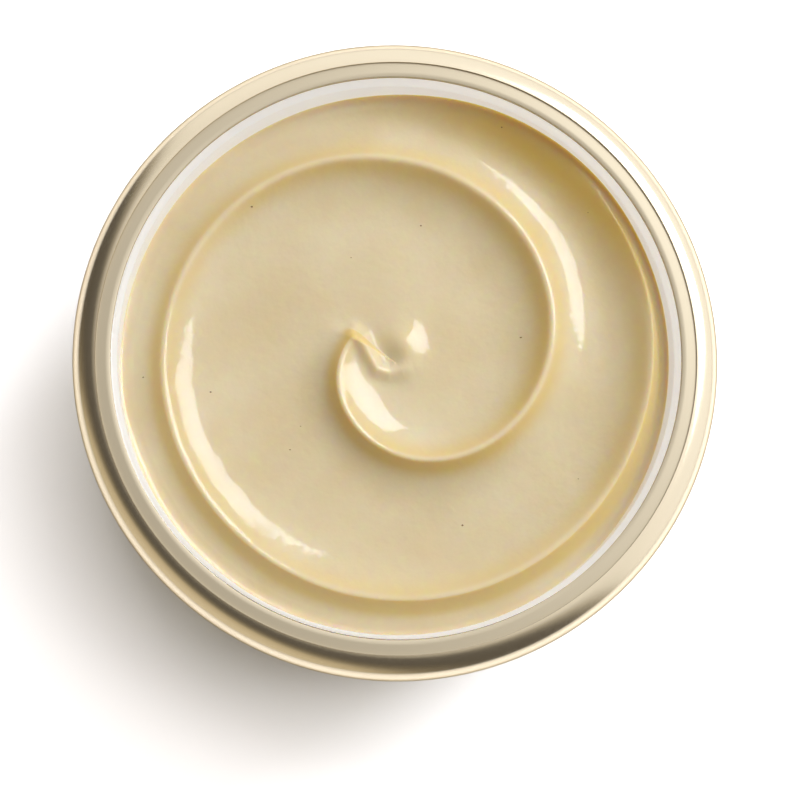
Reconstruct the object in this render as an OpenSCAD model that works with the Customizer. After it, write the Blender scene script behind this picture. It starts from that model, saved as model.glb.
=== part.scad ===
/* [Glass jar] */
// Height of the glass jar, base to rim
jar_h = 60; // [45:1:90]
// Bore of the glass mouth, across
mouth_d = 74; // [60:1:90]
// Thickness of the glass at the neck, up to the thread
neck_wall = 2.6; // [2.2:0.1:3.2]
// Thickness of the glass in the body
body_wall = 2.6; // [2.4:0.1:4]
// Thickness of the glass base at its edge
base_t = 3.5; // [3:0.5:6]
// How far the body narrows from shoulder to heel, on each side
body_taper = 4; // [1:0.5:6]
// Rounding of the heel
heel_r = 5; // [3:0.5:7]
// Rise of the push-up under the base
push_up = 1.5; // [0.5:0.5:2.5]
// Number of thread ridges on the neck, and of lugs on the band
lugs = 4; // [3:1:6]

/* [Lug band] */
// Outer width of the metal band, over its shoulder
band_d = 86; // [72:1:102]
// Height of the band, crest to hem
band_h = 15; // [14:0.5:18]
// Thickness of the metal
metal_t = 0.6; // [0.4:0.1:0.8]
// Radius of the rolled shoulder
roll_r = 2.9; // [2.6:0.1:3.4]
// Radius of the hem's curl
hem_r = 0.9; // [0.8:0.1:1]
// Height of the band's crest over the glass rim
crest_rise = 1.1; // [0.9:0.1:2]
// Clearance between the band and the glass
seat_gap = 0.1; // [0.05:0.05:0.3]

/* [Mayonnaise] */
// Depth of the filling's edge below the glass rim
fill_drop = 5; // [4:0.5:10]
// Clearance between the filling and the glass
fill_gap = 0.1; // [0.05:0.05:0.3]
// Depth of the filling's surface below its edge, between the ridges
dish_h = 1.6; // [0:0.1:2]
// Height of the swirl's ridge over that surface
ridge_h = 2.6; // [0.5:0.1:2.8]
// How far the ridge reaches to each side before it has mostly fallen away
ridge_w = 2.4; // [1.5:0.1:4]
// How much higher the filling is heaped against the glass on one side
heap_h = 1.6; // [0:0.1:2]

/* [Hidden] */
$fn = 96;

// Glass: radii of the neck, the thread ridges and the body
bore_r = mouth_d / 2;
neck_r = bore_r + neck_wall;
rim_w = 1.2;
band_r = band_d / 2;
skirt_in_r = band_r - 0.8 - metal_t;
ridge_r = skirt_in_r - 0.4;
shoulder_r = neck_r + 1;
heel_out_r = shoulder_r - body_taper;
foot_r = heel_out_r - heel_r;
bead_r = 0.8;
bead_z = jar_h + crest_rise - band_h - 2 * bead_r;

// Push-up: radius of its edge and of the dome it is part of
push_up_r = foot_r - 2;
dome_r = (push_up_r ^ 2 + push_up ^ 2) / (2 * push_up);

// Inside of the glass, from the edge of its floor up to the rim: [radius, height]
floor_z = base_t + push_up;
inside = [
    [heel_out_r - body_wall - 4, floor_z],
    [heel_out_r - body_wall - 1, floor_z + 1],
    [heel_out_r - body_wall, floor_z + 4],
    [shoulder_r - body_wall - 0.5, bead_z - 5],
    [bore_r - 0.5, bead_z + 1],
    [bore_r, jar_h - rim_w]
];

// Thread ridges and lugs: places and sizes
thread_t = 1.2;
thread_arc = 50;
lug_arc = 16;
lug_t = 1.1;
hem_z = jar_h + crest_rise - band_h;
lug_top_z = hem_z + 2 * hem_r;
thread_z = lug_top_z + seat_gap;

// Band: heights and radii of its rolled shoulder and of the ledge over the glass rim
crest_z = jar_h + crest_rise;
roll_x = band_r - roll_r;
lip_r = 0.3;
ledge_in_r = bore_r + rim_w - 0.4;
ledge_z = jar_h + seat_gap;
step_h = 0.15;

// Filling: the grid that its surface is worked out on
turn_parts = 90;
ring_parts = 42;
edge_z = jar_h - fill_drop;
inside_by_z = [for (p = inside) [p.y, p.x]];
fill_r = lookup(edge_z, inside_by_z) - fill_gap;

// Distance of the ridge from the centre at each quarter turn of the swirl,
// as a share of the filling's radius, from the angle where the swirl starts
swirl_start = 140;
swirl_r = [0.18, 0.325, 0.5, 0.655, 0.825, 0.9, 0.905, 0.97, 1.01];
crest_round = 0.35;

// Heap against the glass: where it is highest, and how far it spreads round and inwards
heap_angle = 48;
heap_turn = 36;
heap_w = 4.6;

// --- Glass jar: one revolved wall, thread ridges on the neck ---

module glass_outline() {
    // neck, with its rounded rim
    square([neck_r, jar_h - rim_w]);
    square([bore_r + rim_w, jar_h]);
    translate([bore_r + rim_w, jar_h - rim_w]) circle(rim_w);
    // bead under the band, which the shoulder runs into
    translate([shoulder_r - bead_r, bead_z]) circle(bead_r);
    // tapered body with a rounded heel
    polygon([[0, 0], [foot_r, 0], [heel_out_r, heel_r], [shoulder_r, bead_z], [0, bead_z]]);
    translate([foot_r, heel_r]) circle(heel_r);
}

module glass_profile() {
    difference() {
        glass_outline();
        polygon(concat([[-1, floor_z]], inside, [[bore_r, jar_h + 1], [-1, jar_h + 1]]));
        translate([0, push_up - dome_r]) circle(dome_r);
    }
}

module ring_arc(inner_r, outer_r, low_z, height, arc) {
    rotate([0, 0, -arc / 2])
        rotate_extrude(angle = arc)
            translate([inner_r, low_z]) square([outer_r - inner_r, height]);
}

module glass_jar() {
    color("#dfe6e4", 0.4) {
        rotate_extrude() glass_profile();
        for (i = [0 : lugs - 1])
            rotate([0, 0, i * 360 / lugs])
                ring_arc(neck_r - 1, ridge_r, thread_z, thread_t, thread_arc);
    }
}

// --- Lug band: rolled shoulder, ledge over the rim, skirt, curled hem ---

module band_profile() {
    // rolled shoulder, from the crest round to the skirt
    intersection() {
        difference() {
            translate([roll_x, crest_z - roll_r]) circle(roll_r);
            translate([roll_x, crest_z - roll_r]) circle(roll_r - metal_t);
        }
        translate([roll_x, crest_z - 1.7 * roll_r]) square([roll_r + 1, 2 * roll_r]);
    }
    // skirt and its curled hem
    translate([skirt_in_r, hem_z + hem_r])
        square([metal_t, crest_z - 1.6 * roll_r - hem_z - hem_r]);
    translate([skirt_in_r + metal_t - hem_r + 0.2, hem_z + hem_r]) circle(hem_r);
    // crest lip, and the ledge stepped down from it over the glass rim
    translate([roll_x, crest_z - lip_r]) circle(lip_r);
    translate([ledge_in_r + metal_t / 2, ledge_z + metal_t / 2]) circle(metal_t / 2);
    polygon([
        [ledge_in_r + metal_t / 2, ledge_z + metal_t], [roll_x + 0.5, crest_z - step_h],
        [roll_x + 0.5, crest_z - step_h - metal_t], [ledge_in_r + metal_t / 2, ledge_z]
    ]);
}

module lug_band() {
    color("#d3c39c") {
        rotate_extrude() band_profile();
        for (i = [0 : lugs - 1])
            rotate([0, 0, i * 360 / lugs])
                ring_arc(neck_r + seat_gap, skirt_in_r + 0.3, lug_top_z - lug_t, lug_t, lug_arc);
    }
}

// --- Mayonnaise: one closed body up to the swirled surface ---

function smooth(t) = let (u = max(0, min(1, t))) u * u * (3 - 2 * u);

// Smooth curve through a row of evenly spaced values
function curve_at(v, t) =
    let (
        last = len(v) - 1,
        k = max(0, min(last - 1, floor(t))),
        u = max(0, min(1, t - k)),
        a = v[max(0, k - 1)], b = v[k], c = v[k + 1], d = v[min(last, k + 2)]
    )
    b + u * ((c - a) / 2 + u * ((a - 2.5 * b + 2 * c - d / 2)
        + u * (1.5 * (b - c) + (d - a) / 2)));

// Height of the ridge at a point: a crest on each turn of the swirl, falling away on both sides
function ridge_at(r, angle) =
    let (
        first = ((angle - swirl_start) % 360 + 360) % 360,
        heights = [for (q = [first / 90, first / 90 + 4])
            let (d = (r - fill_r * curve_at(swirl_r, q)) / ridge_w,
                 fade = smooth(q / 0.25) * (1 - smooth((q - 6.1) / 0.9)))
            fade * ridge_h * exp(crest_round - sqrt(d * d + crest_round * crest_round))]
    )
    heights[0] + heights[1];

function heap_at(r, angle) =
    let (turn = (angle - heap_angle + 540) % 360 - 180)
    heap_h * exp(-(turn / heap_turn) ^ 2 - ((fill_r - r) / heap_w) ^ 1.5);

function surface_z(r, angle) =
    let (inward = smooth((fill_r - r) / 3))
    edge_z + heap_at(r, angle) + inward * (ridge_at(r, angle) - dish_h);

module mayonnaise() {
    side_z = [for (k = [len(inside) - 2 : -1 : 0]) inside[k].y + fill_gap];
    top = [for (j = [1 : ring_parts]) for (i = [0 : turn_parts - 1])
        let (r = fill_r * j / ring_parts, a = i * 360 / turn_parts)
        [r * cos(a), r * sin(a), surface_z(r, a)]];
    side = [for (z = side_z) for (i = [0 : turn_parts - 1])
        let (r = lookup(z - fill_gap, inside_by_z) - fill_gap, a = i * 360 / turn_parts)
        [r * cos(a), r * sin(a), z]];
    points = concat([[0, 0, surface_z(0, 0)]], top, side, [[0, 0, floor_z + fill_gap]]);
    rings = ring_parts + len(side_z);
    bottom = len(points) - 1;
    faces = concat(
        [for (i = [0 : turn_parts - 1]) [0, 1 + (i + 1) % turn_parts, 1 + i]],
        [for (j = [0 : rings - 2]) for (i = [0 : turn_parts - 1]) for (half = [0, 1])
            let (a = 1 + j * turn_parts, b = a + turn_parts, k = (i + 1) % turn_parts)
            half == 0 ? [a + i, a + k, b + k] : [a + i, b + k, b + i]],
        [for (i = [0 : turn_parts - 1])
            let (a = 1 + (rings - 1) * turn_parts)
            [bottom, a + i, a + (i + 1) % turn_parts]]
    );
    color("#e0d2ac") polyhedron(points = points, faces = faces);
}

glass_jar();
lug_band();
mayonnaise();
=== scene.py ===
import math
import random

import bpy
import numpy as np
from mathutils import Matrix, Vector


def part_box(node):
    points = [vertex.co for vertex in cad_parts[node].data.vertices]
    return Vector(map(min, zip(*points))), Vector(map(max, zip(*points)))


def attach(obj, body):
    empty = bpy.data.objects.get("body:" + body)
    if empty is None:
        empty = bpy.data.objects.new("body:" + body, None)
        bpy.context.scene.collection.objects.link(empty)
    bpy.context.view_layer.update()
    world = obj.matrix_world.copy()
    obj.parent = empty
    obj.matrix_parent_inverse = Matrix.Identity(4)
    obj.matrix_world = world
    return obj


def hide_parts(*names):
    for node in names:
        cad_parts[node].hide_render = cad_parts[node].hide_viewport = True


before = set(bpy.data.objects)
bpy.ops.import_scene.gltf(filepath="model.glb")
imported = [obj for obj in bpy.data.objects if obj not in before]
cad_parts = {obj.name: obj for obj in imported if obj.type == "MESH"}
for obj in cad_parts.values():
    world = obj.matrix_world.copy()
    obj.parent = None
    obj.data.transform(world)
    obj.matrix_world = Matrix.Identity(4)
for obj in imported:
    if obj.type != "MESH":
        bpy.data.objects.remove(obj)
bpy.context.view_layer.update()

MM = 0.001

# --- Sizes, in millimetres, the first ones from the frame's own boxes ---


def top_and_radius(node):
    """Height of a node's top and half its width."""
    low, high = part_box(node)
    return high[2] / MM, (high[0] - low[0]) / 2 / MM


RIM_Z = top_and_radius("glass_jar")[0]
CREST_Z, BAND_R = top_and_radius("lug_band")
HEM_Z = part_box("lug_band")[0][2] / MM

# Glass: the wall inside and outside
BORE_R = 37.0
NECK_R = 39.6
LIP_W = 1.2
BODY_WALL = 2.6
SHOULDER_R = NECK_R + 1
HEEL_R = 36.6
HEEL_ROUND = 5.0
FLOOR_Z = 5.0
PUSH_UP = 1.5
BEAD = 0.8
BEAD_Z = HEM_Z - 2 * BEAD

# Band: the metal, its rolled shoulder and hem, and the ledge over the glass rim with its crease
METAL = 0.6
ROLL = 3.2
SKIRT_R = BAND_R - 0.8
HEM = 0.9
SEAT_GAP = 0.1
LEDGE_R = BORE_R + LIP_W - 0.4
GROOVE = 0.28

# Mayonnaise: its edge, how far its surface dips inside that, how it climbs where it wets the glass,
# and how far it reaches into the glass so that no air shows
EDGE_Z = RIM_Z - 5
DISH = 1.6
WET_CLIMB = 1.1
WET_REACH = 1.6
INTO_GLASS = 0.12
SURFACE_RINGS = 260
SURFACE_TURN = 288
REVOLVE_STEPS = 192

# Swirl: where the ridge starts, and its distance from the centre at each quarter turn
SWIRL_START = math.radians(140)
SWIRL_R = [6.3, 9.9, 16.9, 24.7, 30.4, 31.6, 33.2, 36.0, 38.5]
# Height of its crest there, and how fast it falls away towards the centre and outwards
CREST_H = [1.6, 2.4, 2.8, 3.3, 2.6, 2.9, 3.2, 3.6, 1.0]
SIDE_IN = [2.2, 2.8, 2.8, 3.0, 2.8, 3.4, 3.6, 4.2, 1.8]
SIDE_OUT = [1.4, 1.6, 2.4, 3.6, 2.6, 1.7, 1.7, 1.6, 1.4]
CREST_ROUND = 0.22

# Heap against the glass: where it is highest, its height and how far in it reaches
HEAP_ANGLE = math.radians(48)
HEAP_H = 3.2
HEAP_W = 5.0
HEAP_TURN = 0.65

# Painted shade: how golden the steepest folds are, from 0 to 1, and the rise per mm at which a fold starts to be and
# is so
FOLD_SHADE_GOLD = 0.7
FOLD_STARTS = 0.3
FOLD_FULL = 0.9

# Specks of spice, where they lie
SPECK_PLACES = [
    (-14.1, -11.9), (-24.8, -4.2), (-33.8, -2.4), (-12.7, -8.7), (26.1, 20.5), (24.5, -15.8), (14.4, 32.2),
    (-6.0, 14.5), (9.0, -22.0), (3.5, 19.0), (-19.5, 21.0), (17.0, 3.5),
]


# --- Modelling helpers ---


def arc(x, z, r, start, end, steps):
    """Points on an arc round (x, z), in degrees, both ends included."""
    turn = [math.radians(start + (end - start) * i / steps) for i in range(steps + 1)]
    return [(x + r * math.cos(a), z + r * math.sin(a)) for a in turn]


def select_none():
    if bpy.context.object and bpy.context.object.mode != "OBJECT":
        bpy.ops.object.mode_set(mode="OBJECT")
    bpy.ops.object.select_all(action="DESELECT")


def revolved(name, profile, steps, closed):
    """A profile of (radius, height) points in mm, drawn by extruding one point, then spun round the axis."""
    select_none()
    bpy.ops.mesh.primitive_plane_add(size=MM, location=(profile[0][0] * MM, 0, profile[0][1] * MM))
    piece = bpy.context.object
    piece.name = name
    bpy.ops.object.transform_apply(location=True, rotation=True, scale=True)
    bpy.ops.object.mode_set(mode="EDIT")
    bpy.ops.mesh.merge(type="CENTER")
    for (r0, z0), (r1, z1) in zip(profile, profile[1:]):
        step = ((r1 - r0) * MM, 0, (z1 - z0) * MM)
        bpy.ops.mesh.extrude_region_move(TRANSFORM_OT_translate={"value": step})
    bpy.ops.mesh.select_all(action="SELECT")
    if closed:
        bpy.ops.mesh.remove_doubles(threshold=1e-7)
    bpy.ops.mesh.spin(steps=steps, angle=2 * math.pi, center=(0, 0, 0), axis=(0, 0, 1))
    bpy.ops.mesh.select_all(action="SELECT")
    bpy.ops.mesh.remove_doubles(threshold=2e-6)
    bpy.ops.mesh.normals_make_consistent(inside=False)
    bpy.ops.object.mode_set(mode="OBJECT")
    return piece


def smooth_shaded(piece, angle):
    select_none()
    piece.select_set(True)
    bpy.context.view_layer.objects.active = piece
    bpy.ops.object.shade_smooth_by_angle(angle=math.radians(angle))


# --- Materials ---


def colour(code, alpha=1.0):
    """An sRGB hex colour as linear values."""
    parts = [int(code[i : i + 2], 16) / 255 for i in (1, 3, 5)]
    return [c / 12.92 if c <= 0.04045 else ((c + 0.055) / 1.055) ** 2.4 for c in parts] + [alpha]


def add(tree, kind, values=None, links=None):
    """Adds a node. A value's or link's key is a socket's name or number, or else a setting of the node."""
    node = tree.nodes.new(kind)
    for key, value in (values or {}).items():
        if isinstance(key, int) or key in node.inputs:
            node.inputs[key].default_value = value
        else:
            setattr(node, key, value)
    for key, socket in (links or {}).items():
        tree.links.new(socket, node.inputs[key])
    return node


def material(name, **values):
    """A new material whose one shader carries the given values."""
    made = bpy.data.materials.new(name)
    made.use_nodes = True
    tree = made.node_tree
    tree.nodes.clear()
    shader = add(tree, "ShaderNodeBsdfPrincipled", {k.replace("_", " "): v for k, v in values.items()})
    output = add(tree, "ShaderNodeOutputMaterial")
    tree.links.new(shader.outputs[0], output.inputs["Surface"])
    return made, tree, shader


def pressed_soda_lime_glass():
    """Pressed soda-lime glass: clear and fire-polished, its faint waviness bends what is behind it."""
    made, tree, shader = material(
        "pressed_soda_lime_glass",
        Base_Color=colour("#FAFAFA"), Roughness=0.02, IOR=1.52, Transmission_Weight=1.0,
    )
    place = add(tree, "ShaderNodeTexCoord")
    # waves of about 12 mm, as the mould leaves them
    waves = add(tree, "ShaderNodeTexNoise", {"Scale": 1 / 0.012, "Detail": 1.0}, {"Vector": place.outputs["Object"]})
    bump = add(tree, "ShaderNodeBump", {"Strength": 0.05, "Distance": 0.0004}, {"Height": waves.outputs["Fac"]})
    tree.links.new(bump.outputs[0], shader.inputs["Normal"])
    # lamps shine through the wall, as they do through a real jar
    path = add(tree, "ShaderNodeLightPath")
    clear = add(tree, "ShaderNodeBsdfTransparent", {"Color": colour("#EEF4F2")})
    mixed = {0: path.outputs["Is Shadow Ray"], 1: shader.outputs[0], 2: clear.outputs[0]}
    mix = add(tree, "ShaderNodeMixShader", links=mixed)
    tree.links.new(mix.outputs[0], tree.nodes["Material Output"].inputs["Surface"])
    return made


def gold_lacquered_tinplate():
    """Tinplate under a champagne-gold lacquer: a soft metallic sheen, with faint rolling marks round the band."""
    made, tree, shader = material(
        "gold_lacquered_tinplate",
        Base_Color=colour("#EFE2C8"), Metallic=0.9, Roughness=0.18, Specular_Tint=colour("#6E6046"),
    )
    place = add(tree, "ShaderNodeTexCoord")
    grain = add(tree, "ShaderNodeTexNoise", {"Scale": 1 / 0.0006, "Detail": 2.0}, {"Vector": place.outputs["Object"]})
    tone = add(tree, "ShaderNodeMapRange", {"To Min": 0.16, "To Max": 0.21}, {"Value": grain.outputs["Fac"]})
    tree.links.new(tone.outputs[0], shader.inputs["Roughness"])
    return made


def brushed_gold_tinplate():
    """The same tinplate where the punch drew it down to the glass: the drawing left it a matt, even tan."""
    return material("brushed_gold_tinplate", Base_Color=colour("#CFC2A8"), Metallic=0.45, Roughness=0.5)[0]


def enamel_with_painted_glow():
    """White food-safe enamel behind the glass neck, with painted light: its pale tone and its glow stand for the
    light that the glass gathers there.
    """
    return material(
        "enamel_with_painted_glow",
        Base_Color=colour("#BEBEBC"), Roughness=0.4, Emission_Color=colour("#F4F3F5"), Emission_Strength=0.58,
    )[0]


def whipped_mayonnaise():
    """Whipped egg-and-oil emulsion: cream with a wet gloss, with a golden tint painted where a fold stands steep, as
    painted shade.
    """
    made, tree, shader = material(
        "whipped_mayonnaise",
        Roughness=0.09, IOR=1.45, Specular_IOR_Level=0.55,
        Subsurface_Weight=1.0, Subsurface_Scale=0.0014, Subsurface_Radius=(1.0, 0.6, 0.1),
    )
    place = add(tree, "ShaderNodeTexCoord")
    clouds = add(tree, "ShaderNodeTexNoise", {"Scale": 1 / 0.011, "Detail": 3.0}, {"Vector": place.outputs["Object"]})
    cream = add(tree, "ShaderNodeValToRGB", links={"Fac": clouds.outputs["Fac"]})
    cream.color_ramp.elements[0].position = 0.3
    cream.color_ramp.elements[1].position = 0.7
    cream.color_ramp.elements[0].color = colour("#DECCA4")
    cream.color_ramp.elements[1].color = colour("#E4D6B4")
    # painted shade: steep folds and the heap at the glass are tinted a golden yellow that stands for their shade and
    # the light that soaks through them
    gold = add(tree, "ShaderNodeAttribute", {"attribute_name": "gold"})
    golden = add(tree, "ShaderNodeMix", {"data_type": "RGBA", 7: colour("#DCBE6C")})
    tree.links.new(gold.outputs["Fac"], golden.inputs[0])
    tree.links.new(cream.outputs["Color"], golden.inputs[6])
    tree.links.new(golden.outputs[2], shader.inputs["Base Color"])
    # fine bubbles and drag marks about a millimetre across
    pores = add(tree, "ShaderNodeTexNoise", {"Scale": 1 / 0.0016, "Detail": 2.0}, {"Vector": place.outputs["Object"]})
    bump = add(tree, "ShaderNodeBump", {"Strength": 0.55, "Distance": 0.0001}, {"Height": pores.outputs["Fac"]})
    tree.links.new(bump.outputs[0], shader.inputs["Normal"])
    return made


def ground_pepper():
    """Specks of ground spice: a dull brown."""
    return material("ground_pepper", Base_Color=colour("#8A6A3A"), Roughness=0.5)[0]


# --- Glass jar ---


def inside_wall():
    """The glass's inner wall, from the middle of its floor up to the lip."""
    low_r = HEEL_R - BODY_WALL
    return [
        (0, FLOOR_Z), (low_r - 4, FLOOR_Z), (low_r - 1, FLOOR_Z + 1), (low_r, FLOOR_Z + 4),
        (SHOULDER_R - BODY_WALL - 0.5, BEAD_Z - 5), (BORE_R - 0.5, BEAD_Z + 1), (BORE_R, RIM_Z - LIP_W),
    ]


def wall_r(z):
    """Radius of the glass's inner wall at a height."""
    wall = inside_wall()[1:]
    return float(np.interp(z, [p[1] for p in wall], [p[0] for p in wall]))


def glass_jar():
    foot_r = HEEL_R - HEEL_ROUND
    dome_edge = foot_r - 2
    dome = [(dome_edge * (1 - t), PUSH_UP * (1 - (1 - t) ** 2)) for t in [i / 8 for i in range(9)]]
    profile = (
        inside_wall()
        + arc(BORE_R + LIP_W, RIM_Z - LIP_W, LIP_W, 180, 0, 12)[1:]
        + [(NECK_R, RIM_Z - LIP_W - 0.5), (NECK_R, BEAD_Z + BEAD)]
        + arc(SHOULDER_R - BEAD, BEAD_Z, BEAD, 70, -30, 6)
        + [(HEEL_R + (SHOULDER_R - HEEL_R) * 0.5, (BEAD_Z + HEEL_ROUND) / 2)]
        + arc(foot_r, HEEL_ROUND, HEEL_ROUND, 0, -90, 8)
        + dome
    )
    piece = revolved("glass_body", profile, REVOLVE_STEPS, closed=False)
    smooth_shaded(piece, 35)
    piece.data.materials.append(pressed_soda_lime_glass())
    piece.data.materials.append(enamel_with_painted_glow())
    # painted light: the neck's outer face under the band carries the white lining whose glow stands for light
    # gathered in the glass
    for face in piece.data.polygons:
        r = math.hypot(face.center.x, face.center.y) / MM
        if r > NECK_R - 0.3 and HEM_Z + 2 * HEM < face.center.z / MM < RIM_Z - LIP_W:
            face.material_index = 1
    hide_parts("glass_jar")
    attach(piece, "root")
    return piece


# --- Lug band ---


def gold_band():
    roll_x = BAND_R - ROLL
    roll_z = CREST_Z - ROLL
    edge = 0.12
    hem_x = SKIRT_R - HEM + 0.2
    inner = SKIRT_R - METAL
    ledge_z = RIM_Z + SEAT_GAP
    outside = (
        arc(LEDGE_R + edge, ledge_z + edge, edge, -90, -180, 3)
        + arc(LEDGE_R + edge, ledge_z + METAL, edge, 180, 90, 4)
        + [(LEDGE_R + 0.4, CREST_Z - GROOVE + 0.09), (LEDGE_R + 0.7, CREST_Z - GROOVE + 0.08)]
        + [(roll_x - 0.2, CREST_Z - GROOVE + 0.01), (roll_x - 0.03, CREST_Z - GROOVE)]
        + arc(roll_x, roll_z, ROLL, 90, -40, 26)
        + [(SKIRT_R, roll_z - 0.75 * ROLL), (SKIRT_R, HEM_Z + 1.6 * HEM)]
        + arc(hem_x, HEM_Z + HEM, HEM, 35, -160, 14)
    )
    back = (
        [(inner, HEM_Z + 1.9 * HEM), (inner, roll_z - 0.75 * ROLL)]
        + arc(roll_x, roll_z, ROLL - METAL, -40, 78, 14)
        + [(roll_x + 0.5, CREST_Z - GROOVE - METAL)]
    )
    piece = revolved("gold_band", outside + back + outside[:1], REVOLVE_STEPS, closed=True)
    smooth_shaded(piece, 35)
    piece.data.materials.append(gold_lacquered_tinplate())
    piece.data.materials.append(brushed_gold_tinplate())
    piece.data.materials.append(enamel_with_painted_glow())
    for face in piece.data.polygons:
        r = math.hypot(face.center.x, face.center.y) / MM
        z = face.center.z / MM
        outward = face.normal.x * face.center.x + face.normal.y * face.center.y
        if r < roll_x - 0.04 and face.normal.z > -0.1:
            face.material_index = 1
        # painted light: the band's inner face carries the white lining whose glow stands for light gathered in the
        # glass
        elif HEM_Z + 2 * HEM < z < CREST_Z - METAL and r < inner + 0.1 and (outward < 0 or face.normal.z < 0):
            face.material_index = 2
    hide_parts("lug_band")
    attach(piece, "root")
    return piece


# --- Mayonnaise ---


def smooth(t):
    t = np.clip(t, 0, 1)
    return t * t * (3 - 2 * t)


def curve_at(values, t):
    """Smooth curve through evenly spaced values, at t counted in their spacing."""
    v = np.array([values[0]] + list(values) + [values[-1]], float)
    k = np.clip(np.floor(t).astype(int), 0, len(values) - 2)
    u = np.clip(t - k, 0, 1)
    a, b, c, d = v[k], v[k + 1], v[k + 2], v[k + 3]
    return b + u * ((c - a) / 2 + u * ((a - 2.5 * b + 2 * c - d / 2) + u * (1.5 * (b - c) + (d - a) / 2)))


def swirl_height(x, y):
    """Height of the spoon's swirl over the still surface, in mm: a crisp crest that falls away on both sides."""
    r = np.hypot(x, y)
    first = np.mod(np.arctan2(y, x) - SWIRL_START, 2 * math.pi) / (math.pi / 2)
    height = np.zeros_like(r)
    for turn in (0, 1):
        q = np.minimum(first + 4 * turn, 8)
        away = r - curve_at(SWIRL_R, q)
        side = np.where(away < 0, curve_at(SIDE_IN, q), curve_at(SIDE_OUT, q))
        fall = np.sqrt((away / side) ** 2 + CREST_ROUND**2) - CREST_ROUND
        fade = smooth(q / 0.15) * (1 - smooth((q - 6.3) / 0.8))
        height += fade * curve_at(CREST_H, q) * np.exp(-fall)
    return height


def line_ridge(x, y, points, heights, wide):
    """A thin ridge along a short line of points, its height changing along it."""
    best = np.full_like(x, 1e9)
    tall = np.zeros_like(x)
    for (x0, y0), (x1, y1), h0, h1 in zip(points, points[1:], heights, heights[1:]):
        dx, dy = x1 - x0, y1 - y0
        t = np.clip(((x - x0) * dx + (y - y0) * dy) / (dx * dx + dy * dy), 0, 1)
        away = np.hypot(x - x0 - t * dx, y - y0 - t * dy)
        nearer = away < best
        best = np.where(nearer, away, best)
        tall = np.where(nearer, h0 + (h1 - h0) * t, tall)
    return tall * np.exp(-0.5 * (best / wide) ** 2)


def centre_height(x, y):
    """The curl where the spoon was lifted: a lip, a dimple beside it and a soft rise beyond."""
    lip = [(-5.6, 4.3), (-4.6, 3.4), (-3.7, 1.2), (-2.4, -0.9), (-0.9, -1.4), (0.8, -1.1), (2.4, -0.6)]
    height = line_ridge(x, y, lip, [0.75, 0.95, 0.9, 0.8, 0.6, 0.4, 0.1], 0.75)
    height += 0.55 * np.exp(-0.5 * (((x + 5.5) / 2.8) ** 2 + ((y + 2.5) / 4.2) ** 2))
    height -= 0.55 * np.exp(-0.5 * (((x + 0.7) / 1.3) ** 2 + ((y - 0.4) / 1.5) ** 2))
    height += 1.2 * np.exp(-0.5 * (((x - 0.8) / 2.1) ** 2 + ((y - 2.0) / 2.5) ** 2))
    return height


def heap_height(x, y, edge_r):
    """Where the spoon heaped the mayonnaise against the glass."""
    turn = np.angle(np.exp(1j * (np.arctan2(y, x) - HEAP_ANGLE)))
    return HEAP_H * np.exp(-((turn / HEAP_TURN) ** 2) - ((edge_r - np.hypot(x, y)) / HEAP_W) ** 2)


def wall_height(r, angle, edge_r):
    """The surface climbs a little where it wets the glass."""
    wet = WET_CLIMB + 0.12 * np.sin(5 * angle + 1) + 0.08 * np.sin(11 * angle)
    return wet * np.exp(-(edge_r - r) / WET_REACH)


def fold_height(x, y, edge_r):
    """What the spoon left: the swirl and the heap."""
    return swirl_height(x, y) + heap_height(x, y, edge_r)


def still_waves(x, y):
    """Slow unevenness of the surface between the ridges."""
    return 0.12 * np.sin(x / 6.3 + 1.2) * np.cos(y / 7.1 - 0.4) + 0.05 * np.sin(x / 2.9 - y / 3.7)


def surface_z(x, y, edge_r):
    r = np.hypot(x, y)
    angle = np.arctan2(y, x)
    near_wall = smooth((edge_r - r) / 2.0)
    relief = swirl_height(x, y) + centre_height(x, y) + still_waves(x, y)
    return EDGE_Z - DISH + near_wall * relief + wall_height(r, angle, edge_r) + heap_height(x, y, edge_r)


def painted_fold_shade_share(x, y, edge_r):
    """Painted shade: how golden the surface is, by how steep its folds are and by the heap, less at the glass and in
    the middle.
    """
    step = 0.1
    rise_x = fold_height(x + step, y, edge_r) - fold_height(x - step, y, edge_r)
    rise_y = fold_height(x, y + step, edge_r) - fold_height(x, y - step, edge_r)
    steepness = np.hypot(rise_x, rise_y) / (2 * step)
    steep = FOLD_SHADE_GOLD * smooth((steepness - FOLD_STARTS) / (FOLD_FULL - FOLD_STARTS))
    r = np.hypot(x, y)
    less = 1 - 0.35 * smooth(1 - (edge_r - r) / 3) - 0.5 * smooth(1 - r / 8)
    return less * np.maximum(steep, smooth(heap_height(x, y, edge_r) / HEAP_H / 0.8))


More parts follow.
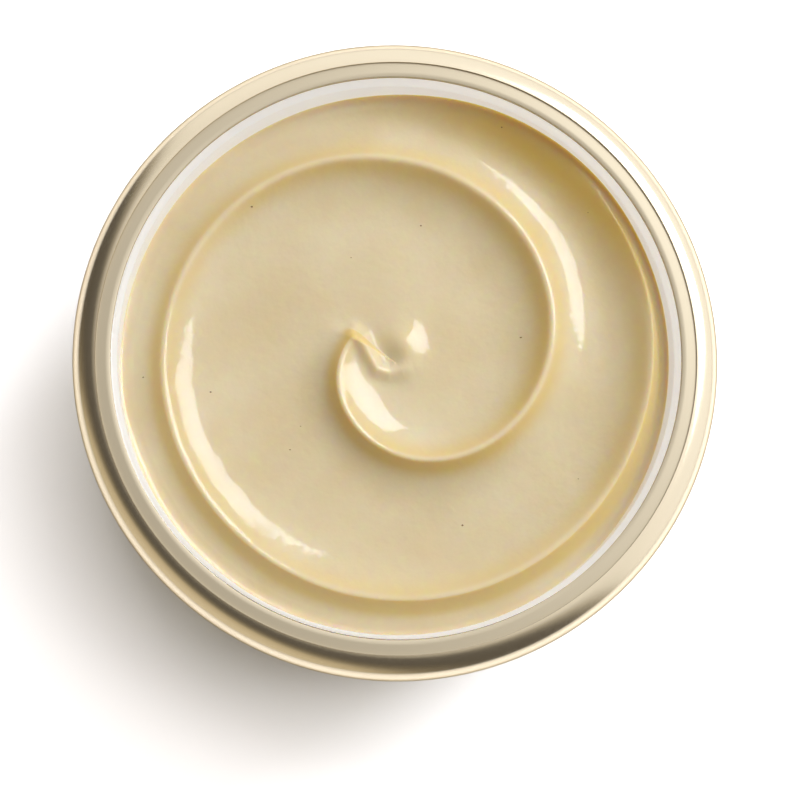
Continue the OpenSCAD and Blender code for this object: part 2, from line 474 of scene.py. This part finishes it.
def mayonnaise():
    edge_r = wall_r(EDGE_Z) + INTO_GLASS
    across = [(edge_r * i / SURFACE_RINGS, EDGE_Z) for i in range(SURFACE_RINGS + 1)]
    down = [(wall_r(z) + INTO_GLASS, z) for z in (52.0, BEAD_Z + 1, BEAD_Z - 5, 25.0, FLOOR_Z + 4, FLOOR_Z + 1)]
    profile = across + down + [(HEEL_R - BODY_WALL - 4, FLOOR_Z - INTO_GLASS), (0, FLOOR_Z - INTO_GLASS)]
    piece = revolved("mayonnaise_swirl", profile, SURFACE_TURN, closed=False)
    mesh = piece.data
    flat = np.empty(len(mesh.vertices) * 3)
    mesh.vertices.foreach_get("co", flat)
    place = flat.reshape(-1, 3) / MM
    on_top = place[:, 2] > EDGE_Z - 0.001
    place[on_top, 2] = surface_z(place[on_top, 0], place[on_top, 1], edge_r)
    mesh.vertices.foreach_set("co", (place * MM).ravel())
    mesh.update()
    # painted shade: the golden tint of steep folds and of the heap, kept on the surface as an attribute
    gold = np.zeros(len(place))
    gold[on_top] = painted_fold_shade_share(place[on_top, 0], place[on_top, 1], edge_r)
    mesh.attributes.new("gold", "FLOAT", "POINT").data.foreach_set("value", gold)
    smooth_shaded(piece, 60)
    mesh.materials.append(whipped_mayonnaise())
    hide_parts("mayonnaise")
    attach(piece, "root")
    return piece


def spice_specks():
    """A dozen or so fine specks lying in the surface."""
    draw = random.Random(7)
    edge_r = wall_r(EDGE_Z) + INTO_GLASS
    specks = []
    for i, (x, y) in enumerate(SPECK_PLACES):
        size = draw.uniform(0.08, 0.17)
        z = float(surface_z(np.array([x]), np.array([y]), edge_r)[0])
        select_none()
        bpy.ops.mesh.primitive_ico_sphere_add(subdivisions=2, radius=size * MM, location=(x * MM, y * MM, z * MM))
        speck = bpy.context.object
        bpy.ops.object.mode_set(mode="EDIT")
        bpy.ops.transform.resize(value=(1, draw.uniform(0.6, 1), 0.5))
        bpy.ops.transform.vertex_random(offset=size * 0.2 * MM, seed=i + 1)
        bpy.ops.object.mode_set(mode="OBJECT")
        specks.append(speck)
    select_none()
    for speck in specks:
        speck.select_set(True)
    bpy.context.view_layer.objects.active = specks[0]
    bpy.ops.object.join()
    piece = bpy.context.object
    piece.name = "spice_specks"
    bpy.ops.object.transform_apply(location=True, rotation=True, scale=True)
    piece.data.materials.append(ground_pepper())
    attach(piece, "root")
    return piece


# --- Stage ---

CAMERA_AWAY = 330 * MM
CAMERA_TILT = math.radians(10.5)
CAMERA_SIDE = math.radians(257)
FRAME_WIDTH = 106.2 * MM
AIM = Vector((0.0004, -0.006, 0))
AIM_Z = (RIM_Z - 0.7) * MM

# Studio walls: how light they are, from the far side of the bright wall round to it
SKY_SIDE = math.radians(45)
SKY_RISE = math.radians(3)
WALL_TONES = (
    (0.0, "#D8CCB4"), (0.12, "#C0B498"), (0.21, "#685E4A"), (0.3, "#3A3226"), (0.47, "#3A3226"), (0.53, "#9A9282"),
    (0.575, "#EEECE8"), (0.65, "#FAF8F6"), (0.8, "#FFFFFF"),
)
WALL_LIGHT = 1.08
KEY_POWER = 0.5
FLOOR_POWER = 9.5


def pale_floor():
    select_none()
    bpy.ops.mesh.primitive_circle_add(vertices=64, radius=3.0, fill_type="NGON", location=(0, 0, 0))
    floor = bpy.context.object
    floor.name = "pale_floor"
    made, tree, shader = material("matt_white_acrylic", Base_Color=colour("#F4F2F3"), Roughness=0.6)
    floor.data.materials.append(made)
    return floor


def soft_light(name, azimuth, elevation, away, wide, tall, power, tint, lit=None):
    """A rectangular softbox turned to the jar's rim. One with something to light lights nothing else."""
    a, e = math.radians(azimuth), math.radians(elevation)
    place = Vector((math.cos(e) * math.cos(a), math.cos(e) * math.sin(a), math.sin(e))) * away
    data = bpy.data.lights.new(name, "AREA")
    data.shape = "RECTANGLE"
    data.size = wide
    data.size_y = tall
    data.energy = power
    data.color = colour(tint)[:3]
    lamp = bpy.data.objects.new(name, data)
    lamp.location = place + Vector((0, 0, RIM_Z * MM))
    lamp.rotation_euler = (place).to_track_quat("Z", "Y").to_euler()
    bpy.context.scene.collection.objects.link(lamp)
    if lit:
        only = bpy.data.collections.new(name + "_lights")
        only.objects.link(lit)
        lamp.light_linking.receiver_collection = only


def studio_world():
    """Soft studio walls that are bright behind and to the right, and dim at the front left."""
    world = bpy.data.worlds.new("studio")
    world.use_nodes = True
    tree = world.node_tree
    tree.nodes.clear()
    place = add(tree, "ShaderNodeTexCoord")
    flat = math.cos(SKY_RISE)
    bright = (flat * math.cos(SKY_SIDE), flat * math.sin(SKY_SIDE), math.sin(SKY_RISE))
    way = {"operation": "DOT_PRODUCT", 1: bright}
    toward = add(tree, "ShaderNodeVectorMath", way, {0: place.outputs["Generated"]})
    span = {"From Min": -1, "From Max": 1}
    side = add(tree, "ShaderNodeMapRange", span, {"Value": toward.outputs["Value"]})
    walls = add(tree, "ShaderNodeValToRGB", links={"Fac": side.outputs[0]})
    ramp = walls.color_ramp
    for position, code in WALL_TONES:
        stop = ramp.elements.new(position)
        stop.color = colour(code)
    ramp.elements.remove(ramp.elements[0])
    ramp.elements.remove(ramp.elements[-1])
    background = add(tree, "ShaderNodeBackground", {"Strength": WALL_LIGHT}, {"Color": walls.outputs["Color"]})
    output = add(tree, "ShaderNodeOutputWorld")
    tree.links.new(background.outputs[0], output.inputs["Surface"])
    bpy.context.scene.world = world


def camera():
    data = bpy.data.cameras.new("camera")
    data.sensor_width = 36
    data.lens = 36 * CAMERA_AWAY / FRAME_WIDTH
    lens = bpy.data.objects.new("camera", data)
    bpy.context.scene.collection.objects.link(lens)
    centre = Vector((0, 0, AIM_Z))
    out = Vector((
        math.sin(CAMERA_TILT) * math.cos(CAMERA_SIDE),
        math.sin(CAMERA_TILT) * math.sin(CAMERA_SIDE),
        math.cos(CAMERA_TILT),
    ))
    lens.location = centre + out * CAMERA_AWAY
    back = (lens.location - (centre + AIM)).normalized()
    right = Vector((0, 1, 0)).cross(back).normalized()
    up = back.cross(right)
    lens.rotation_euler = Matrix((right, up, back)).transposed().to_euler()
    bpy.context.scene.camera = lens


bpy.context.scene.view_settings.view_transform = "Standard"
camera()
glass_jar()
gold_band()
mayonnaise()
spice_specks()
floor = pale_floor()
studio_world()
soft_light("key_softbox", azimuth=36, elevation=46, away=0.28, wide=0.175, tall=0.13, power=KEY_POWER, tint="#F2F7FF")
soft_light(
    "floor_softbox", azimuth=18, elevation=81, away=1.0, wide=0.42, tall=0.42, power=FLOOR_POWER, tint="#FFFFFF",
    lit=floor,
)
